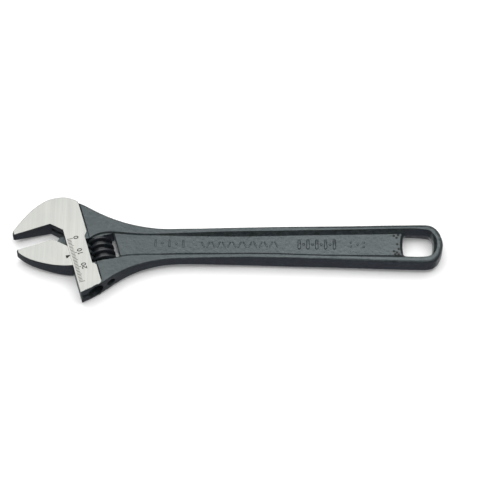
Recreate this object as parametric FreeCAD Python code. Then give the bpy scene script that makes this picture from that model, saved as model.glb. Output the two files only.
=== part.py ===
"""Adjustable wrench, 255 mm long, 30 mm jaw capacity, lying flat on its ground head faces.

Five separate pieces:
  body         forged handle with the head, the slideway and the fixed jaw
  movable_jaw  jaw, thin web and round toothed bar that runs in the head
  worm         adjusting screw that drives the toothed bar
  worm_pin     slotted axle screw that carries the adjusting screw
  worm_spring  compression spring that takes the play out of the adjusting screw

Frame: +Z up, +X from the jaws to the hang hole, origin under the middle of the
bounding box, Z = 0 at the lowest point, the underside of the adjusting screw,
which stands a little proud of the head on both faces.
The head has its own plan axes: u runs square to the slideway towards the
handle, v runs down along the slideway in the direction that opens the jaws.
"""
import FreeCAD
import Part
import math
import os
from FreeCAD import Vector

# ---------------------------------------------------------------- dimensions
ORIGIN_X, ORIGIN_Y = 127.773, -2.909      # middle of the plan box, in sketch axes
HEAD_ANGLE = 16.0                     # slideway tilt against the handle
T_HEAD = 12.6                         # thickness over the ground head faces

# fixed jaw and slideway (u, v)
JAW_TIP_U = 1.9
FIXED_FACE_V = -4.8                   # fixed gripping face
FIXED_APEX_U = 24.8                   # where the gripping face turns 45 degrees
FRONT_U = 31.2                        # slideway face
BACK_U = 44.5                         # back edge of the ground band
BOTTOM_FRONT_V = 45.95                 # lower end of the slideway
RUN_OFF = 0.6                         # slope behind the ground band
GROOVE_W, GROOVE_D = 1.0, 0.95        # shadow groove behind it, width and depth under the band
EDGE_BREAK = 0.3                      # bevel round the head
TAPER = 0.11785                       # rise of each jaw face per mm of u
HALF_AT_TIP = 3.2                     # half thickness of the fixed jaw at its tip

# movable jaw (u, v)
OPENING = 10.7                        # jaw opening in the modelled position
CAPACITY = 30.0
MOV_FACE_V = FIXED_FACE_V + OPENING
MOV_APEX_U = 23.8
MOV_BACK_U = 31.08                    # back of the jaw on the slideway
MOV_HEEL_V = 26.7
MOV_NOSE_U = 1.62
NOSE_BEVEL = 0.9                      # 45 degree bevel across each jaw's nose

# toothed bar, web and their channel
BAR_U, BAR_R, BORE_R = 40.4, 4.8, 4.9
BAR_FLAT_U = 44.95                    # teeth are topped flat here
BAR_TOP_V, BAR_BOTTOM_V = 3.5, 28.2
WEB_T, SLOT_T = 2.8, 3.1
CHANNEL_TOP_V = -8.2

# adjusting screw
WORM_U = 50.4
WORM_V0, WORM_V1 = 11.0, 27.4
WORM_R, WORM_ROOT_R = 7.4, 5.1
Z_MID = WORM_R                        # forging plane of every piece
PITCH = 4.25                          # axial pitch, single start, left-handed
THREAD_MID = 2.10                     # ridge width at half depth
FLANK = 0.30                          # flank slope, mm per mm of depth
FLANK_PLAY = 0.20                     # play per flank in the toothed bar
FIRST_RIDGE_V = 11.85                 # ridge centre nearest the top, bar side

# window for the screw
WIN_U0, WIN_U1 = 42.35, 59.3
WIN_V0, WIN_V1 = 10.8, 27.65
WIN_LEAD = 0.75

# axle screw and spring
PIN_R, PIN_HOLE_R = 1.9, 1.95
PIN_TOP_V, PIN_BOTTOM_V = 4.6, 33.6
PIN_HEAD_R, PIN_HEAD_HOLE_R, PIN_HEAD_V = 2.6, 2.65, 30.0
WORM_BORE_R = 1.97
SPRING_WIRE, SPRING_MEAN_R, COUNTERBORE_R = 0.8, 2.7, 3.35
COUNTERBORE_DEPTH = 6.0

# handle
END_X = 255.2
HANG_X0, HANG_X1, HANG_HALF = 231.45, 249.05, 8.15
HANG_LEAD, HANG_LEAD_Z0, HANG_LEAD_Z1 = 2.15, 0.8, 2.9   # lead-in: length, and its two levels above the forging plane
RIM_R, RIM_R_HEAD = 2.4, 0.9            # rounding of the handle's edges at its end and at the head
RIM_X0, RIM_X1 = 145.0, 215.0         # the rounding grows between these stations
DRAFT_TOP = 0.66                      # upper wall of the recess, sideways per mm of depth
DRAFT_LOW = [(40, 1.5), (95, 1.4), (125, 0.92), (180, 0.88), (215, 1.0), (262, 1.1)]     # lower wall, by station

A = math.radians(HEAD_ANGLE)
CA, SA = math.cos(A), math.sin(A)


def P(u, v, z=0.0):
    """Head axes (u, v) to sketch axes."""
    return Vector(u * CA + v * SA, u * SA - v * CA, z)


def poly_uv(points, z0, z1):
    pts = [P(u, v, z0) for u, v in points]
    return Part.Face(Part.makePolygon(pts + [pts[0]])).extrude(Vector(0, 0, z1 - z0))


def poly_xy(points, z0, z1):
    pts = [Vector(x, y, z0) for x, y in points]
    return Part.Face(Part.makePolygon(pts + [pts[0]])).extrude(Vector(0, 0, z1 - z0))


def along(table, x):
    """Value at x of a table of (x, value) pairs, straight between them."""
    for (a, va), (b, vb) in zip(table, table[1:]):
        if x <= b:
            return va + (vb - va) * (x - a) / (b - a)
    return table[-1][1]


def spline(points):
    c = Part.BSplineCurve()
    c.interpolate(points)
    return c


def cylinder_v(u, r, v0, v1):
    """Round bar or bore along the slideway direction."""
    return Part.makeCylinder(r, v1 - v0, P(u, v0, Z_MID), Vector(SA, -CA, 0))


def clean(shape):
    s = shape.removeSplitter()
    return s.Solids[0] if len(s.Solids) == 1 else s


def edges_at(shape, keep):
    return [e for e in shape.Edges if keep(e)]


def near_line(m, pts):
    return any((Vector(p.x, p.y, m.z) - m).Length < 2.6 for p in pts[1:-1])


def soften(shape, keep, r):
    """Rounds the edges whose middle point passes the test; the plain shape stays if a round won't build."""
    chosen = [e for e in shape.Edges if keep(e.valueAt((e.FirstParameter + e.LastParameter) / 2))]
    if not chosen:
        print("nothing to round", r)
        return shape
    for k in (r, r * 0.8, r * 0.6):
        try:
            out = shape.makeFillet(k, chosen)
            if out.isValid() and len(out.Solids) == 1 and out.Volume > 0.9 * shape.Volume:
                return out.Solids[0]
        except Exception:
            pass
    print("left sharp", r, len(chosen))
    return shape


def break_edges(shape, keep, size):
    """Bevels the edges whose middle point passes the test; the plain shape stays if that won't build."""
    chosen = [e for e in shape.Edges if keep(e.valueAt((e.FirstParameter + e.LastParameter) / 2))]
    for k in (size, size * 0.7):
        try:
            out = shape.makeChamfer(k, chosen)
            if out.isValid() and len(out.Solids) == 1 and out.Volume > 0.95 * shape.Volume:
                return out.Solids[0]
        except Exception:
            pass
    print("edges left sharp", size, len(chosen))
    return shape


# ------------------------------------------------- jaw taper, seen along v
def taper_block(half):
    """Slab whose two faces close towards the jaw tip: half(u) is the half thickness."""
    us = [-6, 0, 6, 12, 18, 24, 26, 28, 30, 32, 36, 40]
    top = [P(u, -40, Z_MID + half(u)) for u in us]
    bot = [P(u, -40, Z_MID - half(u)) for u in us]
    e_top, e_bot = spline(top).toShape(), spline(bot).toShape()
    far_t, far_b = P(62, -40, Z_MID + half(40)), P(62, -40, Z_MID - half(40))
    wire = Part.Wire([e_top, Part.makeLine(top[-1], far_t), Part.makeLine(far_t, far_b),
                      Part.makeLine(far_b, bot[-1]), e_bot, Part.makeLine(bot[0], top[0])])
    return Part.Face(wire).extrude(P(0, 100, 0) - P(0, 0, 0))


def blunt_nose(shape, tip_u, half):
    """Bevels the upper and lower face where a jaw ends."""
    u0, u1 = tip_u - 3.0, tip_u + NOSE_BEVEL
    for s in (1, -1):
        pts = [P(u, -40, Z_MID + s * z) for u, z in
               ((u1, half(u1)), (u0, half(u1) - (u1 - u0)), (u0, half(u1) + 2.0), (u1, half(u1) + 2.0))]
        wedge = Part.Face(Part.makePolygon(pts + [pts[0]])).extrude(P(0, 100, 0) - P(0, 0, 0))
        shape = shape.cut(wedge)
    return shape.Solids[0]


def half_fixed(u):
    h = HALF_AT_TIP + TAPER * (u - JAW_TIP_U)
    full = T_HEAD / 2.0
    k = 0.10                                   # soft run-out into the flat band
    return full - k * math.log(1.0 + math.exp((full - h) / k)) if h > full - 4 * k else h


def half_movable(u):
    pts = [(-6, 2.75), (2.1, 3.2), (11, 4.0), (18.3, 4.72), (23, 5.33), (28, 6.02), (31.1, 6.27), (62, 6.3)]
    for (a, ha), (b, hb) in zip(pts, pts[1:]):
        if u <= b:
            return ha + (hb - ha) * (u - a) / (b - a)
    return pts[-1][1]


# ------------------------------------------------------------------ body
def head_block():
    arc = [(38.35, 26.75), (37.2, 27.5), (35.2, 28.55), (32.8, 29.3), (30.4, 29.72), (28.0, 29.65),
           (25.6, 29.2), (23.26, 28.72), (20.9, 28.0), (18.6, 26.95), (16.3, 25.45), (14.0, 23.75),
           (11.7, 21.9), (9.45, 19.5), (7.2, 16.8), (5.0, 14.0), (2.8, 11.0), (1.35, 8.9)]
    arc = [Vector(x, y, 0) for x, y in arc]
    tip = P(JAW_TIP_U, FIXED_FACE_V)
    nose = Part.Arc(arc[-1], Vector(0.4, 6.9, 0), tip).toShape()
    corners = [tip, P(FIXED_APEX_U, FIXED_FACE_V),
               P(FRONT_U, FIXED_FACE_V + FRONT_U - FIXED_APEX_U), P(FRONT_U, BOTTOM_FRONT_V)]
    foot = [P(u, v) for u, v in [(FRONT_U, BOTTOM_FRONT_V), (33.4, 45.5), (35.3, 45.15), (39.2, 44.15), (42.6, 42.98)]]
    heel = [P(u, v) for u, v in [(42.6, 42.98), (44.1, 42.0), (BACK_U, 40.4)]]
    edges = [spline(arc).toShape(), nose]
    edges += [Part.makeLine(a, b) for a, b in zip(corners, corners[1:])]
    edges += [spline(foot).toShape(), Part.Arc(*heel).toShape(), Part.makeLine(heel[-1], arc[0])]
    block = Part.Face(Part.Wire(edges)).extrude(Vector(0, 0, 2 * Z_MID))
    block = block.common(taper_block(half_fixed))
    # where the grinding ran out: a narrow slope down to the forged surface
    d = (heel[-1] - arc[0]).normalize()
    out = Vector(-d.y, d.x, 0)
    half = T_HEAD / 2
    start = arc[0] + d * 1.1 + Vector(0, 0, Z_MID)
    strip = [start + out * a + Vector(0, 0, z) for a, z in
             ((-0.3, -half), (0, -half), (RUN_OFF, RUN_OFF - half), (RUN_OFF, half - RUN_OFF), (0, half), (-0.3, half))]
    length = (heel[-1] - arc[0]).Length - 1.1
    block = block.fuse(Part.Face(Part.makePolygon(strip + [strip[0]])).extrude(d * length))
    # rounded foot of the ground band and blunt jaw nose
    block = soften(block, lambda m: near_line(m, foot) and abs(m.z - Z_MID) > 6.0, 0.8)
    block = blunt_nose(block, JAW_TIP_U, half_fixed)
    block = break_edges(block, lambda m: near_line(m, arc) and abs(m.z - Z_MID) > 3.0, EDGE_BREAK)
    # shadow groove that parts the band from the forged neck
    grooves = []
    for s in (1, -1):
        base = arc[0] - d * 3.0 + Vector(0, 0, Z_MID)
        cut = [base + out * a + Vector(0, 0, s * z) for a, z in
               ((0, half + 1), (0, half), (GROOVE_W * 0.45, half - GROOVE_D), (GROOVE_W, half - 0.42), (GROOVE_W, half + 1))]
        grooves.append(Part.Face(Part.makePolygon(cut + [cut[0]])).extrude(d * (length + 4.0)))
    return block, grooves


HANDLE_PROFILE = [(28, 5.9), (45, 5.85), (55, 5.8), (62, 5.62), (69, 5.1), (76, 4.5), (84, 4.1), (94, 3.87), (104, 3.9),
                  (112, 4.1), (118, 4.38), (124, 4.65), (135, 5.08), (147, 5.36), (165, 5.5), (200, 5.55), (225, 5.6), (262, 5.7)]
OUTLINE = [(37.95, 26.55), (40.6, 25.55), (47.4, 21.77), (54.6, 17.9), (61.9, 14.8), (69.0, 12.65), (76.2, 11.29),
           (83.3, 10.3), (90.4, 9.87), (97.5, 10.01), (104.0, 10.13), (111.0, 10.14), (118.0, 10.18), (126.0, 10.25),
           (135.0, 10.32), (145.0, 10.45), (157.0, 10.75), (170.0, 11.13), (185.0, 11.59), (200.0, 12.05), (215.0, 12.54),
           (228.0, 12.83), (237.0, 13.01), (243.6, 13.1), (246.6, 12.9), (249.2, 12.0), (251.4, 10.3), (253.2, 7.75),
           (254.5, 4.2), (END_X, 0.0)]
OUTLINE_LOW = [(254.5, -4.4), (253.2, -8.05), (251.4, -10.7), (249.2, -12.35), (246.6, -13.15), (243.6, -13.35),
               (237.0, -13.31), (228.0, -13.13), (215.0, -12.76), (200.0, -12.22), (185.0, -11.7), (170.0, -11.17),
               (157.0, -10.74), (145.0, -10.43), (135.0, -10.36), (126.0, -10.37), (118.0, -10.4), (111.0, -10.43),
               (104.0, -10.53), (97.5, -10.77), (90.4, -11.46), (83.4, -12.93), (76.3, -15.11), (69.3, -18.25),
               (62.4, -22.57), (55.5, -27.89), (51.0, -30.79), (46.5, -33.57)]


def side_slab(profile, y=80.0):
    """Slab with the given half thickness along x."""
    top = [Vector(x, -y, Z_MID + h) for x, h in profile]
    bot = [Vector(x, -y, Z_MID - h) for x, h in profile]
    wire = Part.Wire([spline(top).toShape(), Part.makeLine(top[-1], bot[-1]),
                      spline(bot).toShape(), Part.makeLine(bot[0], top[0])])
    return Part.Face(wire).extrude(Vector(0, 2 * y, 0))


def handle_blank():
    curve = spline([Vector(x, y, 0) for x, y in OUTLINE + OUTLINE_LOW])
    splits = [curve.parameter(Vector(*[p for p in line if p[0] == x][0], 0))
              for line, x in ((OUTLINE, RIM_X0), (OUTLINE, RIM_X1), (OUTLINE_LOW, RIM_X1), (OUTLINE_LOW, RIM_X0))]
    first, last = curve.FirstParameter, curve.LastParameter
    stops = [first] + splits + [last]
    parts = [curve.toShape(a, b) for a, b in zip(stops, stops[1:])]
    start, end = curve.value(first), curve.value(last)
    inner = [end, P(36.0, 30.0), P(38.0, -11.0), start]
    wire = Part.Wire(parts + [Part.makeLine(a, b) for a, b in zip(inner, inner[1:])])
    blank = Part.Face(wire).extrude(Vector(0, 0, 2 * Z_MID))
    blank = blank.common(side_slab(HANDLE_PROFILE))
    return round_rim(blank)


def round_rim(blank):
    """Rounds the long outer edges: tight at the head, fuller along the handle."""
    doc = FreeCAD.newDocument("rim")
    base = doc.addObject("Part::Feature", "base")
    base.Shape = blank
    chosen = []
    for i, e in enumerate(base.Shape.Edges, 1):
        b = e.BoundBox
        if b.ZLength > 3.5 and b.XLength < 1:
            continue
        m = e.valueAt((e.FirstParameter + e.LastParameter) / 2)
        if abs(m.z - Z_MID) < 2.5 or e.Length < 50:
            continue
        p0, p1 = e.valueAt(e.FirstParameter), e.valueAt(e.LastParameter)
        if m.x > 48 and (abs(m.y) > 9 or m.x > 250):
            near = (RIM_X0 + RIM_X1) / 2
            chosen.append((i, RIM_R if p0.x > near else RIM_R_HEAD, RIM_R if p1.x > near else RIM_R_HEAD))
    f = doc.addObject("Part::Fillet", "f")
    f.Base = base
    f.Edges = chosen
    doc.recompute()
    out = f.Shape.copy()
    FreeCAD.closeDocument("rim")
    if out.isNull() or not out.isValid() or abs(out.Volume) < 1000:
        raise RuntimeError("rim rounding failed")
    return out


# edges of the handle's recess, 5 above the forging plane, and the level of its floor
RECESS_TOP = [(43.0, -2.0), (44.5, -0.4), (46.0, 1.15), (48.0, 2.85), (50.0, 4.05), (52.3, 5.07), (55.2, 5.75), (58.5, 6.08),
              (64.1, 6.05), (70.0, 6.07), (75.9, 6.25), (81.8, 6.58), (87.7, 6.92), (93.6, 7.32), (99.6, 7.62), (105.5, 7.82),
              (111.4, 7.86), (117.3, 7.82), (123.3, 7.75), (135.0, 7.54), (147.0, 7.45), (158.8, 7.53), (170.6, 7.82),
              (182.5, 8.12), (194.3, 8.35), (206.2, 8.67), (218.0, 8.98), (226.0, 9.22), (238.0, 9.5)]
# lower edge of the recess, on the rim
RECESS_LOW = [(47.5, -15.0), (51.0, -14.1), (53.0, -13.36), (58.8, -12.39), (64.6, -10.83), (70.5, -9.55), (76.3, -8.86),
              (82.2, -8.61), (88.1, -8.46), (94.0, -8.34), (99.9, -8.24), (105.7, -8.17), (111.6, -8.16), (117.5, -8.22),
              (123.4, -8.26), (135.2, -8.26), (147.0, -8.36), (158.8, -8.52), (170.6, -8.95), (182.3, -9.29), (194.1, -9.5),
              (205.9, -9.64), (217.6, -9.85), (226.0, -9.99), (238.0, -10.2)]
RECESS_FLOOR = [(40, 4.75), (52, 4.65), (60, 4.5), (66, 4.2), (72, 3.75), (78, 3.35), (85, 3.05), (92, 2.6), (99, 2.15),
                (106, 1.88), (114, 1.82), (123, 1.86), (135, 2.03), (147, 2.3), (159, 2.5), (175, 2.6), (200, 2.58), (225, 2.48),
                (262, 2.45)]


def recess_cut(side):
    """Channel along one face of the handle, walls drafted outwards."""
    end = [(245.3, 9.1), (248.4, 7.3), (250.4, 4.2), (251.1, -0.15), (250.4, -4.5), (248.4, -7.65), (245.3, -9.45)]

    def ring(level):
        up, down = (level - 5.0) * DRAFT_TOP, (level - 5.0) * along(DRAFT_LOW, 245.0)
        top = [(x, y + up) for x, y in RECESS_TOP]
        low = [(x, y - (level - along(HANDLE_PROFILE, x)) * along(DRAFT_LOW, x)) for x, y in reversed(RECESS_LOW)]
        mid = []
        for x, y in end:
            k = math.hypot(x - 238.0, y * 1.05)
            off = down + (up - down) * min(1.0, max(0.0, (y + 9.0) / 18.0))
            mid.append((x + off * (x - 238.0) / k, y + off * y * 1.05 / k))
        pts = [Vector(x, y, Z_MID + level) for x, y in top + mid + low]
        c = spline(pts)
        return Part.Wire([c.toShape(), Part.makeLine(pts[-1], pts[0])])

    tool = Part.makeLoft([ring(0.8), ring(8.0)], True, False)
    floor_pts = [Vector(x, -80, Z_MID + h) for x, h in RECESS_FLOOR]
    up = [Vector(262, -80, Z_MID + 12), Vector(40, -80, Z_MID + 12)]
    wire = Part.Wire([spline(floor_pts).toShape(), Part.makeLine(floor_pts[-1], up[0]),
                      Part.makeLine(up[0], up[1]), Part.makeLine(up[1], floor_pts[0])])
    above = Part.Face(wire).extrude(Vector(0, 160, 0))
    tool = tool.common(above)
    if side < 0:
        tool = tool.mirror(Vector(0, 0, Z_MID), Vector(0, 0, 1))
    return tool


def hang_hole():
    """Rounded through slot, waisted at the forging plane."""
    def ring(off, z, lead=0.0):
        half = [(HANG_X0, 0.0), (HANG_X0 + 0.1, 2.0), (HANG_X0 + 0.35, HANG_HALF - 3.6), (HANG_X0 + 0.6, HANG_HALF - 2.2),
                (HANG_X0 + 1.0, HANG_HALF - 1.1), (HANG_X0 + 1.75, HANG_HALF - 0.32), (HANG_X0 + 2.9, HANG_HALF - 0.03),
                (HANG_X0 + 5.0, HANG_HALF), (HANG_X0 + 9.0, HANG_HALF), (HANG_X1 - 5.6, HANG_HALF - 0.02),
                (HANG_X1 - 3.7, HANG_HALF - 0.15), (HANG_X1 - 2.35, HANG_HALF - 0.6), (HANG_X1 - 1.4, HANG_HALF - 1.4),
                (HANG_X1 - 0.8, HANG_HALF - 2.55), (HANG_X1 - 0.3, HANG_HALF - 4.35), (HANG_X1 - 0.05, 1.9), (HANG_X1, 0.0)]
        mx = (HANG_X0 + HANG_X1) / 2
        pts = []
        for x, y in half:
            k = math.hypot((x - mx) / (HANG_X1 - mx), y / HANG_HALF)
            if lead and x < mx:
                pts.append((x - lead, y))
            else:
                pts.append((x + off * (x - mx) / (HANG_X1 - mx) / k, y + off * y / HANG_HALF / k))
        full = pts + [(x, -y) for x, y in reversed(pts[1:-1])]
        vec = [Vector(x, y, z) for x, y in full]
        c = Part.BSplineCurve()
        c.interpolate(Points=vec, PeriodicFlag=True)
        return Part.Wire([c.toShape()])

    up = Part.makeLoft([ring(0.0, Z_MID), ring(1.7, Z_MID + 8)], True, False)
    # steep lead-in on the handle's side, from the recess floor
    bevel = Part.makeLoft([ring(-0.3, Z_MID + HANG_LEAD_Z0, 0.001), ring(-0.3, Z_MID + HANG_LEAD_Z1, HANG_LEAD)], True, False)
    plane = Vector(0, 0, Z_MID), Vector(0, 0, 1)
    return up, up.mirror(*plane), bevel, bevel.mirror(*plane)


def window_lead(s):
    """Broken edge along the window's handle side."""
    z = along(RECESS_FLOOR, 62.0)
    cut = [P(u, WIN_V0 + 0.3, Z_MID + s * h) for u, h in
           ((WIN_U1 - 0.2, z - WIN_LEAD - 0.2), (WIN_U1 + WIN_LEAD + 0.5, z + 0.5), (WIN_U1 - 0.2, z + 0.5))]
    return Part.Face(Part.makePolygon(cut + [cut[0]])).extrude(P(0, WIN_V1 - 0.3, 0) - P(0, WIN_V0 + 0.3, 0))


def make_body():
    block, grooves = head_block()
    body = handle_blank().fuse(block)
    for g in grooves:
        body = body.cut(g)
    front = poly_uv([(-10, -60), (WIN_U0, -60), (WIN_U0, 80), (-10, 80)], -5, 3 * Z_MID)
    for side in (1, -1):
        body = body.cut(recess_cut(side).cut(front))
    for tool in hang_hole():
        body = body.cut(tool)
    # ground band: the window notch in its back edge, down to the forged surface
    notch = poly_uv([(WIN_U0, 9.1), (45.6, 4.4), (45.6, 31.7), (WIN_U0, 27.1)], Z_MID + 5.7, 3 * Z_MID)
    cuts = [poly_uv([(WIN_U0, WIN_V0), (WIN_U1, WIN_V0), (WIN_U1, WIN_V1), (WIN_U0, WIN_V1)], -2, 2 * Z_MID + 2),
            notch.copy(), notch.mirror(Vector(0, 0, Z_MID), Vector(0, 0, 1)),
            window_lead(1), window_lead(-1),
            # channel of the toothed bar, its slot and the relief for the web in the fixed jaw
            cylinder_v(BAR_U, BORE_R, CHANNEL_TOP_V, 60),
            poly_uv([(FRONT_U - 8.0, CHANNEL_TOP_V + 8.5), (24.35, -3.35), (27.95, CHANNEL_TOP_V + 0.35), (27.95, CHANNEL_TOP_V),
                     (BAR_U, CHANNEL_TOP_V), (BAR_U, 60), (FRONT_U - 0.5, 60), (FRONT_U - 0.5, 2.5)],
                    Z_MID - SLOT_T / 2, Z_MID + SLOT_T / 2),
            # axle screw
            cylinder_v(WORM_U, PIN_HOLE_R, PIN_TOP_V - 0.4, 40),
            cylinder_v(WORM_U, PIN_HEAD_HOLE_R, PIN_HEAD_V - 0.1, 60)]
    for c in cuts:
        body = body.cut(c)
    return clean(body)


# ----------------------------------------------------------- movable jaw
def make_jaw():
    outer = [(31.0, MOV_HEEL_V), (28.2, 26.05), (26.0, 25.3), (23.8, 24.4), (21.6, 23.4), (19.4, 22.3), (17.3, 21.1),
             (15.2, 19.8), (13.0, 18.4), (11.0, 17.0), (9.0, 15.5), (7.0, 13.8), (4.9, 11.65), (3.2, 9.5), (2.15, 7.9)]
    outer = [(MOV_BACK_U, MOV_HEEL_V)] + outer[1:]
    pts = [P(u, v) for u, v in outer]
    tip = P(2.15, MOV_FACE_V)
    edges = [spline(pts).toShape(), Part.Arc(pts[-1], P(MOV_NOSE_U, 6.75), tip).toShape(),
             Part.makeLine(tip, P(MOV_APEX_U, MOV_FACE_V)),
             Part.makeLine(P(MOV_APEX_U, MOV_FACE_V), P(MOV_BACK_U, MOV_FACE_V + MOV_BACK_U - MOV_APEX_U)),
             Part.makeLine(P(MOV_BACK_U, MOV_FACE_V + MOV_BACK_U - MOV_APEX_U), pts[0])]
    jaw = Part.Face(Part.Wire(edges)).extrude(Vector(0, 0, 2 * Z_MID))
    jaw = jaw.common(taper_block(half_movable))
    jaw = blunt_nose(jaw, MOV_NOSE_U, half_movable)
    jaw = soften(jaw, lambda m: (m - Vector(P(17.3, 21.1).x, P(17.3, 21.1).y, m.z)).Length < 5 and abs(m.z - Z_MID) > 2, 0.45)
    web = poly_uv([(24.75, 7.4), (28.15, BAR_TOP_V), (BAR_U, BAR_TOP_V), (BAR_U, BAR_BOTTOM_V), (33.5, BAR_BOTTOM_V),
                   (30.0, 25.0), (26.0, 15.0)], Z_MID - WEB_T / 2, Z_MID + WEB_T / 2)
    bar = cylinder_v(BAR_U, BAR_R, BAR_TOP_V, BAR_BOTTOM_V)
    try:
        ends = edges_at(bar, lambda e: e.Length > 20 and e.Closed)
        bar = bar.makeChamfer(0.5, ends)
    except Exception:
        pass
    bar = bar.cut(poly_uv([(BAR_FLAT_U, 0), (60, 0), (60, 40), (BAR_FLAT_U, 40)], -2, 2 * Z_MID + 2))
    bar = bar.fuse(web)
    # rack: grooves that follow the lead of the left-handed screw
    lead = math.atan(PITCH / (2 * math.pi * (WORM_R + WORM_ROOT_R) / 2))
    crest_u = WORM_U - WORM_R - 0.28
    mid_u = WORM_U - (WORM_R + WORM_ROOT_R) / 2
    k = -2
    while True:
        v = FIRST_RIDGE_V + k * PITCH
        k += 1
        if v > BAR_BOTTOM_V + PITCH:
            break
        w = lambda u: (THREAD_MID / 2 + FLANK_PLAY) + FLANK * (u - mid_u)
        u0, u1 = crest_u, BAR_U + BAR_R + 1.0
        pts = [P(u0, v - w(u0), -8), P(u1, v - w(u1), -8), P(u1, v + w(u1), -8), P(u0, v + w(u0), -8)]
        tool = Part.Face(Part.makePolygon(pts + [pts[0]])).extrude(Vector(0, 0, 16))
        tool.rotate(P(BAR_U, v, 0), P(1, 0, 0), RACK_SIGN * math.degrees(lead))
        tool.translate(Vector(0, 0, Z_MID))
        bar = bar.cut(tool)
    jaw = jaw.fuse(bar)
    return clean(jaw)


RACK_SIGN = 1.0


# ----------------------------------------------------------------- worm
def make_worm():
    length = WORM_V1 - WORM_V0
    turns = int(length / PITCH) + 3
    height = turns * PITCH
    # built along +Z, then laid along v
    helix = Part.makeHelix(PITCH, height, (WORM_R + WORM_ROOT_R) / 2, 0, True)
    root, crest = WORM_ROOT_R - 0.35, WORM_R
    mid = (WORM_R + WORM_ROOT_R) / 2
    hw = lambda r: THREAD_MID / 2 - FLANK * (r - mid)
    rr = 0.42
    a = Vector(root, 0, -hw(root)); b = Vector(crest - rr, 0, -hw(crest - rr)); c = Vector(crest, 0, -hw(crest) + rr * 0.8)
    d = Vector(crest, 0, hw(crest) - rr * 0.8); e = Vector(crest - rr, 0, hw(crest - rr)); f = Vector(root, 0, hw(root))
    m1 = Vector(crest - 0.12, 0, -hw(crest) + 0.09); m2 = Vector(crest - 0.12, 0, hw(crest) - 0.09)
    wire = Part.Wire([Part.makeLine(a, b), Part.Arc(b, m1, c).toShape(), Part.makeLine(c, d),
                      Part.Arc(d, m2, e).toShape(), Part.makeLine(e, f), Part.makeLine(f, a)])
    thread = Part.Wire(helix.Edges).makePipeShell([wire], True, True)
    return thread, helix, height


def build_worm():
    thread, helix, height = make_worm()
    # ridge on the bar side (angle pi seen in the screw's own axes) after half a turn
    length = WORM_V1 - WORM_V0
    k0 = 1.5 * PITCH                      # ridge centre at angle 180 degrees, second crossing
    z0 = k0 - (FIRST_RIDGE_V - WORM_V0)   # screw's own z of the top end
    core = Part.makeCylinder(WORM_ROOT_R, length, Vector(0, 0, z0))
    core = core.makeChamfer(0.4, [e for e in core.Edges if e.Closed and e.Length > 30])
    trim = Part.makeCylinder(WORM_R + 1, length, Vector(0, 0, z0))
    body = core.fuse(thread.common(trim))
    # end relief of the ridges
    limit = Part.makeCylinder(WORM_R + 0.01, length, Vector(0, 0, z0))
    limit = limit.makeChamfer(0.7, [e for e in limit.Edges if e.Closed and e.Length > 30])
    ends = Part.makeCylinder(WORM_R + 2, length, Vector(0, 0, z0)).cut(limit)
    bore = Part.makeCylinder(WORM_BORE_R, length + 2, Vector(0, 0, z0 - 1))
    cbore = Part.makeCylinder(COUNTERBORE_R, COUNTERBORE_DEPTH + 1, Vector(0, 0, z0 + length - COUNTERBORE_DEPTH))
    body = body.cut(ends).cut(bore).cut(cbore)
    body = clean(body)
    body.translate(Vector(0, 0, -z0))
    # own axes: x (towards +u), z (towards +v); y completes the frame
    ex, ez = Vector(CA, SA, 0), Vector(SA, -CA, 0)
    ey = ez.cross(ex)
    o = P(WORM_U, WORM_V0, Z_MID)
    m = FreeCAD.Matrix(ex.x, ey.x, ez.x, o.x, ex.y, ey.y, ez.y, o.y, ex.z, ey.z, ez.z, o.z, 0, 0, 0, 1)
    return body.transformed(m, copy=True)


# --------------------------------------------------------- axle and spring
def make_pin():
    pin = cylinder_v(WORM_U, PIN_R, PIN_TOP_V, PIN_HEAD_V + 0.5)
    pin = pin.makeChamfer(0.4, [e for e in pin.Edges if e.Closed and e.Length > 8 and
                                abs((e.CenterOfMass - P(WORM_U, PIN_TOP_V, Z_MID)).Length) < 0.1])
    head = cylinder_v(WORM_U, PIN_HEAD_R, PIN_HEAD_V, PIN_BOTTOM_V)
    head = head.makeChamfer(0.3, [e for e in head.Edges if e.Closed and e.Length > 8])
    pin = pin.fuse(head)
    slot = poly_uv([(WORM_U - 4, PIN_BOTTOM_V - 1.4), (WORM_U + 4, PIN_BOTTOM_V - 1.4),
                    (WORM_U + 4, PIN_BOTTOM_V + 2), (WORM_U - 4, PIN_BOTTOM_V + 2)], Z_MID - 0.45, Z_MID + 0.45)
    return clean(pin.cut(slot))


def make_spring():
    """Close-ended compression spring in the counterbore of the adjusting screw."""
    v0 = WORM_V1 - COUNTERBORE_DEPTH + 0.06
    v1 = WIN_V1 - 0.04
    r = SPRING_WIRE / 2
    span = (v1 - v0) - 2 * r
    turns = 5.0
    helix = Part.makeHelix(span / turns, span, SPRING_MEAN_R, 0, False)
    wire = Part.Wire([Part.makeCircle(r, Vector(SPRING_MEAN_R, 0, 0), Vector(0, 1, span / turns / (2 * math.pi * SPRING_MEAN_R)))])
    coil = Part.Wire(helix.Edges).makePipeShell([wire], True, True)
    ex, ez = Vector(CA, SA, 0), Vector(SA, -CA, 0)
    ey = ez.cross(ex)
    o = P(WORM_U, v0 + r, Z_MID)
    m = FreeCAD.Matrix(ex.x, ey.x, ez.x, o.x, ex.y, ey.y, ez.y, o.y, ex.z, ey.z, ez.z, o.z, 0, 0, 0, 1)
    return coil.transformed(m, copy=True)


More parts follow.
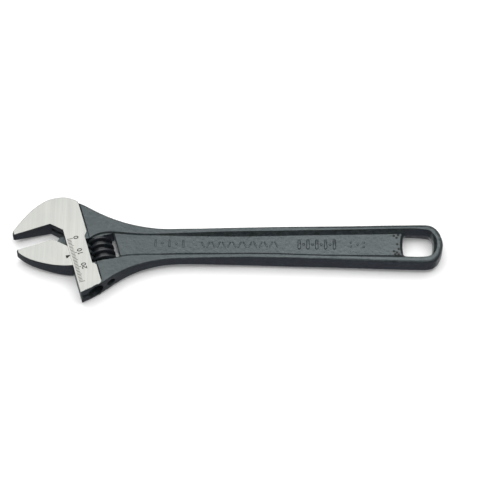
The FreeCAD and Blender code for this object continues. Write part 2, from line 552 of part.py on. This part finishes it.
def main():
    os.makedirs("parts", exist_ok=True)
    nodes = {
        "body": make_body,
        "movable_jaw": make_jaw,
        "worm": build_worm,
        "worm_pin": make_pin,
        "worm_spring": make_spring,
    }
    for name, make in nodes.items():
        shape = make()
        shape.translate(Vector(-ORIGIN_X, -ORIGIN_Y, 0))
        b = shape.BoundBox
        print(name, shape.ShapeType, "valid", shape.isValid(), "solids", len(shape.Solids),
              "volume %.1f" % shape.Volume, "x %.2f..%.2f y %.2f..%.2f z %.2f..%.2f" % (
                  b.XMin, b.XMax, b.YMin, b.YMax, b.ZMin, b.ZMax))
        shape.exportStep("parts/%s.step" % name)


main()
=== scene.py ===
import math

import bpy
import bmesh
from mathutils import Matrix, Vector


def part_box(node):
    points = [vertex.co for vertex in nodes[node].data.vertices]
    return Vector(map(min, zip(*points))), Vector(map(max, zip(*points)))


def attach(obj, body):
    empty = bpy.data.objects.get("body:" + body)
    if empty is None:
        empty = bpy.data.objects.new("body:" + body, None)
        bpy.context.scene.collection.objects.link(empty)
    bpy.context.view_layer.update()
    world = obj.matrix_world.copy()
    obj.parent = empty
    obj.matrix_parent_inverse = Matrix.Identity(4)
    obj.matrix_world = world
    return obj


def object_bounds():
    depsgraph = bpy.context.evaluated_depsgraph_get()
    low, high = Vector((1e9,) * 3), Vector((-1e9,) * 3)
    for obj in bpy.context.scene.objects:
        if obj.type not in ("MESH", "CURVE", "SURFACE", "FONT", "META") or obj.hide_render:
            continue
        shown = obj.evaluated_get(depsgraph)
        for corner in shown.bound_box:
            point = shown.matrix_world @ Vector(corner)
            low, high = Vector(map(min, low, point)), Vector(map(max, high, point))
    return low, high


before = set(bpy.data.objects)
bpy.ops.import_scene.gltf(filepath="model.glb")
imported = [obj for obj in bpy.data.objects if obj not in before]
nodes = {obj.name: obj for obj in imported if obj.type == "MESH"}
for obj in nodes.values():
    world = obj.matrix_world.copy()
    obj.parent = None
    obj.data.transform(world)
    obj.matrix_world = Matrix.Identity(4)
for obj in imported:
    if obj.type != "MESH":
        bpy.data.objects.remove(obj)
CAD_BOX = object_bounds()

# ---------------------------------------------------------------- the head's own axes
A = math.radians(16.0)
CA, SA = math.cos(A), math.sin(A)
OX, OY, ZM = 0.127773, -0.002909, 0.0074


def P(u, v, z=0.0):
    """A point of the head, in mm: u runs towards the handle, v down along the slideway."""
    return Vector(((u * CA + v * SA) / 1000 - OX, (u * SA - v * CA) / 1000 - OY, z))


def uv_of(p):
    X, Y = (p.x + OX) * 1000, (p.y + OY) * 1000
    return X * CA + Y * SA, X * SA - Y * CA


# ---------------------------------------------------------------- camera
cam = bpy.data.cameras.new("camera")
cam_ob = bpy.data.objects.new("camera", cam)
bpy.context.collection.objects.link(cam_ob)
tilt, roll, dist = math.radians(30.5), math.radians(0.32), 1.5
aim = Vector((0.013327, 0.000439, 0.0075))
back = Vector((0, -math.sin(tilt), math.cos(tilt)))
up = back.cross(Vector((1, 0, 0)))
R = math.cos(roll) * Vector((1, 0, 0)) + math.sin(roll) * up
U = -math.sin(roll) * Vector((1, 0, 0)) + math.cos(roll) * up
at = aim + dist * back
cam_ob.matrix_world = Matrix(((R.x, U.x, back.x, at.x), (R.y, U.y, back.y, at.y), (R.z, U.z, back.z, at.z), (0, 0, 0, 1)))
cam.sensor_width = 36
cam.lens = 2534.0 * 36 / 500
cam.clip_start, cam.clip_end = 0.01, 20
bpy.context.scene.camera = cam_ob
bpy.context.scene.view_settings.view_transform = "Standard"
bpy.context.scene.view_settings.look = "None"
FLOOR_GLOW, TOP_LIGHT, BACK_LIGHT = 0.07, 2.35, 0.3


# ---------------------------------------------------------------- materials
class Nodes:
    def __init__(self, name):
        self.m = bpy.data.materials.new(name)
        self.m.use_nodes = True
        self.t = self.m.node_tree
        self.b = self.t.nodes["Principled BSDF"]
        self.co = self.t.nodes.new("ShaderNodeTexCoord").outputs["Object"]

    def link(self, a, b):
        self.t.links.new(a, b)
        return b

    def mapped(self, scale, rotation=(0, 0, 0), location=(0, 0, 0)):
        n = self.t.nodes.new("ShaderNodeMapping")
        n.inputs["Scale"].default_value = scale
        n.inputs["Rotation"].default_value = rotation
        n.inputs["Location"].default_value = location
        self.link(self.co, n.inputs["Vector"])
        return n.outputs["Vector"]

    def noise(self, vector, scale=1.0, detail=3.0, rough=0.55, distort=0.0):
        n = self.t.nodes.new("ShaderNodeTexNoise")
        n.inputs["Scale"].default_value = scale
        n.inputs["Detail"].default_value = detail
        n.inputs["Roughness"].default_value = rough
        n.inputs["Distortion"].default_value = distort
        self.link(vector, n.inputs["Vector"])
        return n.outputs["Fac"]

    def voronoi(self, vector, scale=1.0, feature="F1"):
        n = self.t.nodes.new("ShaderNodeTexVoronoi")
        n.feature = feature
        n.inputs["Scale"].default_value = scale
        self.link(vector, n.inputs["Vector"])
        return n.outputs["Distance"]

    def ramp(self, fac, stops):
        n = self.t.nodes.new("ShaderNodeValToRGB")
        while len(n.color_ramp.elements) < len(stops):
            n.color_ramp.elements.new(0.5)
        for e, (pos, col) in zip(n.color_ramp.elements, stops):
            e.position = pos
            e.color = (*col, 1) if len(col) == 3 else col
        self.link(fac, n.inputs["Fac"])
        return n.outputs["Color"]

    def spread(self, fac, a0, a1, b0, b1):
        n = self.t.nodes.new("ShaderNodeMapRange")
        for k, val in (("From Min", a0), ("From Max", a1), ("To Min", b0), ("To Max", b1)):
            n.inputs[k].default_value = val
        self.link(fac, n.inputs["Value"])
        return n.outputs["Result"]

    def math(self, op, a, b):
        n = self.t.nodes.new("ShaderNodeMath")
        n.operation = op
        for i, val in enumerate((a, b)):
            if isinstance(val, (int, float)):
                n.inputs[i].default_value = val
            else:
                self.link(val, n.inputs[i])
        return n.outputs[0]

    def mix(self, fac, a, b, kind="MIX"):
        n = self.t.nodes.new("ShaderNodeMix")
        n.data_type = "RGBA"
        n.blend_type = kind
        for key, val in (("Factor", fac), ("A", a), ("B", b)):
            sock = [s for s in n.inputs if s.name == key and (s.type == "RGBA" if key != "Factor" else s.type == "VALUE")][0]
            if isinstance(val, (int, float)):
                sock.default_value = val
            elif isinstance(val, tuple):
                sock.default_value = (*val, 1)
            else:
                self.link(val, sock)
        return [s for s in n.outputs if s.type == "RGBA"][0]

    def bump(self, height, strength, distance, normal=None):
        n = self.t.nodes.new("ShaderNodeBump")
        n.inputs["Strength"].default_value = strength
        n.inputs["Distance"].default_value = distance
        self.link(height, n.inputs["Height"])
        if normal is not None:
            self.link(normal, n.inputs["Normal"])
        return n.outputs["Normal"]

    def set(self, **k):
        names = {"color": "Base Color", "rough": "Roughness", "metal": "Metallic", "normal": "Normal", "spec": "Specular IOR Level", "ior": "IOR", "coat": "Coat Weight", "coat_rough": "Coat Roughness"}
        for key, val in k.items():
            s = self.b.inputs[names[key]]
            if isinstance(val, (int, float)):
                s.default_value = val
            elif isinstance(val, tuple):
                s.default_value = (*val, 1)
            else:
                self.link(val, s)
        return self


def forged_black(name):
    """Phosphated drop forging: fine shot-blasted grain, dark green-grey, slightly mottled."""
    n = Nodes(name)
    plain = n.mapped((1, 1, 1))
    blotch = n.noise(plain, 90, 3, 0.5)
    grain = n.noise(plain, 1100, 4, 0.62)
    pits = n.voronoi(plain, 620)
    tone = n.ramp(blotch, [(0.32, (0.0095, 0.0130, 0.0145)), (0.72, (0.0155, 0.0205, 0.0225))])
    speck = n.ramp(grain, [(0.30, (0.72, 0.72, 0.74)), (0.62, (1.12, 1.12, 1.12))])
    flake = n.noise(plain, 560, 2, 0.6)
    shade = n.ramp(flake, [(0.36, (0.55, 0.56, 0.57)), (0.64, (1.50, 1.49, 1.47))])
    n.set(color=n.mix(1.0, n.mix(1.0, tone, speck, "MULTIPLY"), shade, "MULTIPLY"), metal=0.0, spec=0.86)
    n.b.inputs["Specular Tint"].default_value = (0.88, 1.0, 1.01, 1)
    # the oxide is a little duller towards the head
    sep = n.t.nodes.new("ShaderNodeSeparateXYZ")
    n.link(n.co, sep.inputs[0])
    dull = n.spread(sep.outputs["X"], -0.055, 0.060, 0.085, 0.0)
    cast = n.spread(flake, 0.32, 0.68, -0.085, 0.085)
    n.set(rough=n.math("ADD", n.math("ADD", n.spread(grain, 0.3, 0.7, 0.34, 0.47), dull), cast))
    skin = n.bump(n.noise(plain, 430, 3, 0.6), 0.9, 0.00040)
    fine = n.bump(grain, 0.9, 0.00010, skin)
    n.set(normal=n.bump(n.spread(pits, 0.0, 0.6, 0.0, 1.0), 0.35, 0.00005, fine))
    return n.m


def ground_steel(name):
    """Surface-ground steel: fine parallel scratches along the tool's Y axis."""
    n = Nodes(name)
    lines = n.noise(n.mapped((2600, 26, 26)), 1, 4, 0.6)
    broad = n.noise(n.mapped((420, 9, 9)), 1, 3, 0.5)
    cloud = n.noise(n.mapped((40, 40, 40)), 1, 2, 0.5)
    base = n.ramp(lines, [(0.30, (0.300, 0.301, 0.288)), (0.70, (0.358, 0.359, 0.344))])
    band = n.ramp(broad, [(0.35, (0.94, 0.94, 0.94)), (0.65, (1.03, 1.03, 1.03))])
    wide = n.ramp(cloud, [(0.35, (0.95, 0.965, 0.955)), (0.65, (1.03, 1.025, 1.015))])
    n.set(color=n.mix(1.0, n.mix(1.0, base, band, "MULTIPLY"), wide, "MULTIPLY"), metal=1.0)
    n.set(rough=n.spread(lines, 0.3, 0.7, 0.36, 0.5))
    n.set(normal=n.bump(lines, 0.25, 0.00003))
    return n.m


def oiled_black(name):
    """Black-oxide screw, oiled: darker and glossier than the forging, with a fine grain."""
    n = Nodes(name)
    grain = n.noise(n.mapped((1, 1, 1)), 900, 3, 0.55)
    smear = n.noise(n.mapped((1, 1, 1)), 160, 3, 0.5)
    n.set(color=n.ramp(smear, [(0.3, (0.008, 0.010, 0.012)), (0.75, (0.018, 0.021, 0.025))]), metal=0.0, spec=0.42)
    n.set(rough=n.spread(smear, 0.3, 0.7, 0.20, 0.36))
    n.set(normal=n.bump(grain, 0.35, 0.00004))
    return n.m


def spring_wire(name):
    n = Nodes(name)
    draw = n.noise(n.mapped((300, 300, 300)), 1, 3, 0.5)
    n.set(color=n.ramp(draw, [(0.3, (0.42, 0.42, 0.41)), (0.7, (0.58, 0.58, 0.56))]), metal=1.0)
    n.set(rough=n.spread(draw, 0.3, 0.7, 0.22, 0.36), normal=n.bump(draw, 0.2, 0.00003))
    return n.m


def etched(name):
    """Dark electro-etched marks."""
    n = Nodes(name)
    speck = n.noise(n.mapped((1, 1, 1)), 2600, 2, 0.6)
    n.set(color=n.ramp(speck, [(0.35, (0.012, 0.012, 0.013)), (0.70, (0.040, 0.038, 0.036))]), metal=0.0, spec=0.12)
    n.set(rough=n.spread(speck, 0.3, 0.7, 0.5, 0.75), normal=n.bump(speck, 0.2, 0.00002))
    return n.m


BLACK = forged_black("forged_black")
GROUND = ground_steel("ground_steel")
WORM = oiled_black("oiled_black")
PIN = oiled_black("pin_black")
SPRING = spring_wire("spring_wire")
INK = etched("etched_marks")


def paint(node, mats, choose):
    me = nodes[node].data
    me.materials.clear()
    for m in mats:
        me.materials.append(m)
    for p in me.polygons:
        p.material_index = choose(p)


lo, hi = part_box("body")
TOP, UNDER = hi.z, lo.z


def body_face(p):
    """The ground faces of the head; everything else keeps the forged skin."""
    if abs(p.normal.z) < 0.95:
        return 0
    u, v = uv_of(p.center)
    z = abs(p.center.z - ZM)
    return 1 if z > (TOP - ZM) - 0.00004 or (u < 33.0 and z > 0.0029) else 0


def jaw_face(p):
    return 1 if abs(p.normal.z) > 0.95 and abs(p.center.z - ZM) > 0.0027 else 0


paint("body", [BLACK, GROUND], body_face)
paint("movable_jaw", [BLACK, GROUND], jaw_face)
paint("worm", [WORM], lambda p: 0)
paint("worm_pin", [PIN], lambda p: 0)
paint("worm_spring", [SPRING], lambda p: 0)


# ---------------------------------------------------------------- flat marks, as thin closed inlays
def slab(bm, outline, z_of, below=0.00012, above=0.000015):
    """A closed prism over a 2-D outline, whose top follows the surface z_of(x, y)."""
    lower = [bm.verts.new((x, y, z_of(x, y) - below)) for x, y in outline]
    upper = [bm.verts.new((x, y, z_of(x, y) + above)) for x, y in outline]
    n = len(outline)
    bm.faces.new(list(reversed(lower)))
    bm.faces.new(upper)
    for i in range(n):
        bm.faces.new((lower[i], lower[(i + 1) % n], upper[(i + 1) % n], upper[i]))


def ring_slab(bm, outer, inner, z_of, below=0.00012, above=0.000015):
    rows = []
    for loop in (outer, inner):
        rows.append([bm.verts.new((x, y, z_of(x, y) - below)) for x, y in loop])
        rows.append([bm.verts.new((x, y, z_of(x, y) + above)) for x, y in loop])
    ol, ou, il, iu = rows
    n = len(outer)
    for i in range(n):
        j = (i + 1) % n
        bm.faces.new((ou[i], ou[j], iu[j], iu[i]))
        bm.faces.new((ol[j], ol[i], il[i], il[j]))
        bm.faces.new((ol[i], ol[j], ou[j], ou[i]))
        bm.faces.new((il[j], il[i], iu[i], iu[j]))


def mesh_object(name, bm, mat, body):
    bmesh.ops.recalc_face_normals(bm, faces=bm.faces[:])
    me = bpy.data.meshes.new(name)
    bm.to_mesh(me)
    bm.free()
    o = bpy.data.objects.new(name, me)
    bpy.context.collection.objects.link(o)
    me.materials.append(mat)
    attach(o, body)
    return o


def surface(node, direction=-1):
    """z of a node's surface at (x, y), met from above (or from below)."""
    ob = nodes[node]
    start = 0.05 if direction < 0 else -0.05

    def z_of(x, y):
        hit, loc, nor, idx = ob.ray_cast(Vector((x, y, start)), Vector((0, 0, direction)))
        return loc.z if hit else ZM
    return z_of


def bar_uv(u0, v0, u1, v1, w, grow=0.0):
    """The outline of a straight mark from (u0, v0) to (u1, v1), w wide, in mm."""
    du, dv = u1 - u0, v1 - v0
    L = math.hypot(du, dv)
    du, dv = du / L, dv / L
    nu, nv = -dv * w / 2, du * w / 2
    pts = [(u0 + nu, v0 + nv), (u1 + nu, v1 + nv), (u1 - nu, v1 - nv), (u0 - nu, v0 - nv)]
    return [tuple(P(a, b).xy) for a, b in pts]


bpy.context.view_layer.update()
plateau = lambda x, y: TOP
EDGE, ZERO = 31.2, 8.8
bm = bmesh.new()
for k in range(31):
    long = 35.45 if k % 10 == 0 else 34.7 if k % 5 == 0 else 34.15
    slab(bm, bar_uv(EDGE + 0.75, ZERO + k, long, ZERO + k, 0.36), plateau)
mesh_object("scale_ticks", bm, INK, "wrench_body")


def stroke(bm, pts, w, z_of, closed=False):
    """A stroke of even width along a path, as one closed solid. Points in mm (u, v)."""
    n = len(pts)
    left, right = [], []
    for i, (a, b) in enumerate(pts):
        p0 = pts[i - 1] if (closed or i > 0) else None
        p1 = pts[(i + 1) % n] if (closed or i < n - 1) else None
        dirs = []
        for q0, q1 in ((p0, (a, b)), ((a, b), p1)):
            if q0 is not None and q1 is not None:
                L = math.hypot(q1[0] - q0[0], q1[1] - q0[1])
                dirs.append(((q1[0] - q0[0]) / L, (q1[1] - q0[1]) / L))
        dx, dy = sum(d[0] for d in dirs), sum(d[1] for d in dirs)
        L = math.hypot(dx, dy)
        dx, dy = dx / L, dy / L
        k = w / 2
        if len(dirs) == 2:
            k = k / max(0.5, dirs[0][0] * dx + dirs[0][1] * dy)
        left.append((a - dy * k, b + dx * k))
        right.append((a + dy * k, b - dx * k))
    L2 = [tuple(P(a, b).xy) for a, b in left]
    R2 = [tuple(P(a, b).xy) for a, b in right]
    if closed:
        ring_slab(bm, L2, R2, z_of)
    else:
        slab(bm, L2 + R2[::-1], z_of)


def digit(ch):
    """Strokes of a digit about 2 wide and 3 tall, centred, x to the right and y up."""
    if ch == "0":
        return [([(0.78 * math.cos(t * math.pi / 10), 1.25 * math.sin(t * math.pi / 10)) for t in range(20)], True)]
    if ch == "1":
        return [([(-0.50, 0.80), (0.12, 1.32), (0.12, -1.42)], False)]
    if ch == "2":
        arc = [(0.72 * math.cos(math.radians(t)), 0.62 + 0.66 * math.sin(math.radians(t))) for t in range(165, -31, -15)]
        return [(arc + [(-0.70, -1.26), (0.80, -1.26)], False)]
    return []


bm = bmesh.new()
for text, v0 in (("0", 8.75), ("10", 18.75), ("20", 28.85)):
    w = 2.3
    for i, ch in enumerate(text):
        s = (i - (len(text) - 1) / 2) * w
        for pts, closed in digit(ch):
            # text runs up the slideway (-v), its top towards the jaws (-u)
            stroke(bm, [(37.25 - y, v0 - (s + x)) for x, y in pts], 0.54, plateau, closed)
mesh_object("scale_numerals", bm, INK, "wrench_body")

jaw_top = surface("movable_jaw")
bm = bmesh.new()
wedge = [(30.95, 19.30), (30.95, 20.05), (29.9, 20.50), (29.3, 21.00), (28.5, 21.05), (28.5, 19.05), (29.3, 19.05), (29.9, 19.28)]
slab(bm, [tuple(P(a, b).xy) for a, b in wedge], jaw_top)
mesh_object("jaw_pointer", bm, INK, "sliding_jaw")

# ---------------------------------------------------------------- relief in the handle's recess
def XY(x, y):
    return x / 1000 - OX, y / 1000 - OY


def dome(bm, ring_at, radius, height, z_of, smooth=True):
    """A low rounded boss: ring_at(r) gives its outline at half width r. Closed below, inside the metal."""
    levels = [(1.0, -0.00015), (1.0, 0.0), (0.93, 0.45), (0.78, 0.78), (0.52, 0.96)]
    rows = []
    for k, lift in levels:
        z_add = lift * height if lift > 0 else lift
        rows.append([bm.verts.new((x, y, z_of(x, y) + z_add)) for x, y in ring_at(radius * k)])
    n = len(rows[0])
    bm.faces.new(list(reversed(rows[0])))
    top = bm.faces.new(rows[-1])
    top.smooth = smooth
    for a, b in zip(rows, rows[1:]):
        for i in range(n):
            f = bm.faces.new((a[i], a[(i + 1) % n], b[(i + 1) % n], b[i]))
            f.smooth = smooth


def bar(x0, y0, x1, y1):
    """Outline of a round-ended bar between two points, in mm, as a function of its half width."""
    ang = math.atan2(y1 - y0, x1 - x0)

    def ring(r):
        r = r * 1000
        out = []
        for cx, cy, a0 in ((x1, y1, ang - math.pi / 2), (x0, y0, ang + math.pi / 2)):
            out += [XY(cx + r * math.cos(a0 + math.pi * k / 6), cy + r * math.sin(a0 + math.pi * k / 6)) for k in range(7)]
        return out
    return ring


def dot(x, y):
    return lambda r: [XY(x + r * 1000 * math.cos(math.pi * k / 6), y + r * 1000 * math.sin(math.pi * k / 6)) for k in range(12)]


bpy.context.view_layer.update()
web_top = surface("body")
bm = bmesh.new()
for i, x in enumerate((85.2, 89.3, 93.4, 97.5, 101.6)):                      # low bars and dots
    if i % 2:
        dome(bm, dot(x, 0.4), 0.00075, 0.00034, web_top)
    else:
        dome(bm, bar(x, -1.6, x, 2.4), 0.00060, 0.00034, web_top)
for i in range(15):                                                         # zigzag band
    x, lean = 113.2 + i * 3.1, 0.75 if i % 2 else -0.75
    dome(bm, bar(x - lean, -1.55, x + lean, 1.65), 0.00044, 0.00036, web_top)
for x in (170.2, 175.4, 180.6, 185.8, 191.0):                               # bold bars
    dome(bm, bar(x, -2.35, x, 2.6), 0.00095, 0.00065, web_top)
for x in (172.8, 178.0, 183.2, 188.4):                                      # a bead between each pair
    dome(bm, dot(x, 0.15), 0.00085, 0.00055, web_top)
for x, y in ((200.8, -1.2), (200.8, 1.6), (204.6, 0.2), (208.4, -1.2), (208.4, 1.6)):
    dome(bm, dot(x, y), 0.00070, 0.00040, web_top)
mesh_object("handle_relief", bm, BLACK, "wrench_body")

bm = bmesh.new()
for x, y in ((226.3, 6.4), (227.9, 5.1), (228.9, 6.9), (228.2, 0.6), (229.1, -2.6), (226.2, -4.2), (227.9, -4.9), (226.9, -6.2), (228.9, -6.3)):
    slab(bm, dot(x, y)(0.00078), web_top, above=0.00002)
mesh_object("stamped_dots", bm, INK, "wrench_body")

# ---------------------------------------------------------------- floor and light
bm = bmesh.new()
bmesh.ops.create_grid(bm, x_segments=1, y_segments=1, size=6.0)
me = bpy.data.meshes.new("floor")
bm.to_mesh(me)
bm.free()
floor = bpy.data.objects.new("floor", me)
bpy.context.collection.objects.link(floor)
floor.location.z = CAD_BOX[0][2] - 0.00002
fl = Nodes("floor_paper")
tone = fl.noise(fl.mapped((3, 3, 3)), 1, 2, 0.5)
fl.set(color=fl.ramp(tone, [(0.3, (0.865, 0.865, 0.865)), (0.7, (0.875, 0.875, 0.875))]), rough=0.9, spec=0.0)
fl.b.inputs["Emission Color"].default_value = (1.0, 1.0, 1.0, 1.0)      # a backlit white table
fl.b.inputs["Emission Strength"].default_value = FLOOR_GLOW
me.materials.append(fl.m)
floor.visible_glossy = False


def area(name, loc, target, size, radiance, size_y=None, color=(1, 1, 1)):
    """A softbox of a set brightness: its power follows from its size."""
    l = bpy.data.lights.new(name, "AREA")
    l.size, l.color = size, color
    if size_y:
        l.shape, l.size_y = "RECTANGLE", size_y
        surface_area = size * size_y
    else:
        l.shape = "DISK"
        surface_area = math.pi * size * size / 4
    l.energy = radiance * math.pi * surface_area
    o = bpy.data.objects.new(name, l)
    bpy.context.collection.objects.link(o)
    o.location = loc
    o.rotation_euler = (Vector(loc) - Vector(target)).to_track_quat("Z", "Y").to_euler()
    return o


area("softbox_top", (0.0, 0.30, 1.5), (0, 0, 0), 2.6, TOP_LIGHT, 1.6)
area("softbox_back", (0.0, 1.25, 1.25), (0, 0, 0), 1.6, BACK_LIGHT, 0.7)
world = bpy.data.worlds.new("studio")
bpy.context.scene.world = world
world.use_nodes = True
wt = world.node_tree
bg = wt.nodes["Background"]
tc = wt.nodes.new("ShaderNodeTexCoord")
sep = wt.nodes.new("ShaderNodeSeparateXYZ")
wt.links.new(tc.outputs["Generated"], sep.inputs[0])
upper = wt.nodes.new("ShaderNodeValToRGB")
lower = wt.nodes.new("ShaderNodeValToRGB")
for ramp, stops in ((upper, ((0.0, 0.03), (1.0, 0.42), (0.5, 0.14))), (lower, ((0.0, 0.30), (1.0, 0.008), (0.5, 0.05)))):
    for e, (pos, level) in zip((ramp.color_ramp.elements[0], ramp.color_ramp.elements[1], ramp.color_ramp.elements.new(0.5)), stops):
        e.position = pos
        e.color = (level * 1.04, level, level * 1.30, 1) if ramp is lower else (level * 0.99, level, level * 1.03, 1)
wt.links.new(sep.outputs["Z"], upper.inputs["Fac"])
along = wt.nodes.new("ShaderNodeMapRange")                 # below the horizon: a blue-grey front, a dark back
along.inputs["From Min"].default_value = -0.7
along.inputs["From Max"].default_value = 0.3
wt.links.new(sep.outputs["Y"], along.inputs["Value"])
wt.links.new(along.outputs["Result"], lower.inputs["Fac"])
edge = wt.nodes.new("ShaderNodeMapRange")
edge.inputs["From Min"].default_value = -0.12
edge.inputs["From Max"].default_value = 0.05
wt.links.new(sep.outputs["Z"], edge.inputs["Value"])
blend = wt.nodes.new("ShaderNodeMix")
blend.data_type = "RGBA"
wt.links.new(edge.outputs["Result"], blend.inputs[0])
wt.links.new(lower.outputs["Color"], blend.inputs[6])
front = wt.nodes.new("ShaderNodeValToRGB")                 # above it: the room in front is lighter than the room behind
for e, (pos, level) in zip((front.color_ramp.elements[0], front.color_ramp.elements[1], front.color_ramp.elements.new(0.5), front.color_ramp.elements.new(0.25)), ((0.0, 0.05), (1.0, 0.70), (0.52, 0.60), (0.32, 0.10))):
    e.position = pos
    e.color = (level * 0.98, level, level * 1.05, 1)
wt.links.new(sep.outputs["Z"], front.inputs["Fac"])
side = wt.nodes.new("ShaderNodeMapRange")
side.inputs["From Min"].default_value = 0.15
side.inputs["From Max"].default_value = -0.45
wt.links.new(sep.outputs["Y"], side.inputs["Value"])
room = wt.nodes.new("ShaderNodeMix")
room.data_type = "RGBA"
wt.links.new(side.outputs["Result"], room.inputs[0])
wt.links.new(upper.outputs["Color"], room.inputs[6])
wt.links.new(front.outputs["Color"], room.inputs[7])
wt.links.new(room.outputs[2], blend.inputs[7])
wt.links.new(blend.outputs[2], bg.inputs["Color"])
bg.inputs["Strength"].default_value = 1.0
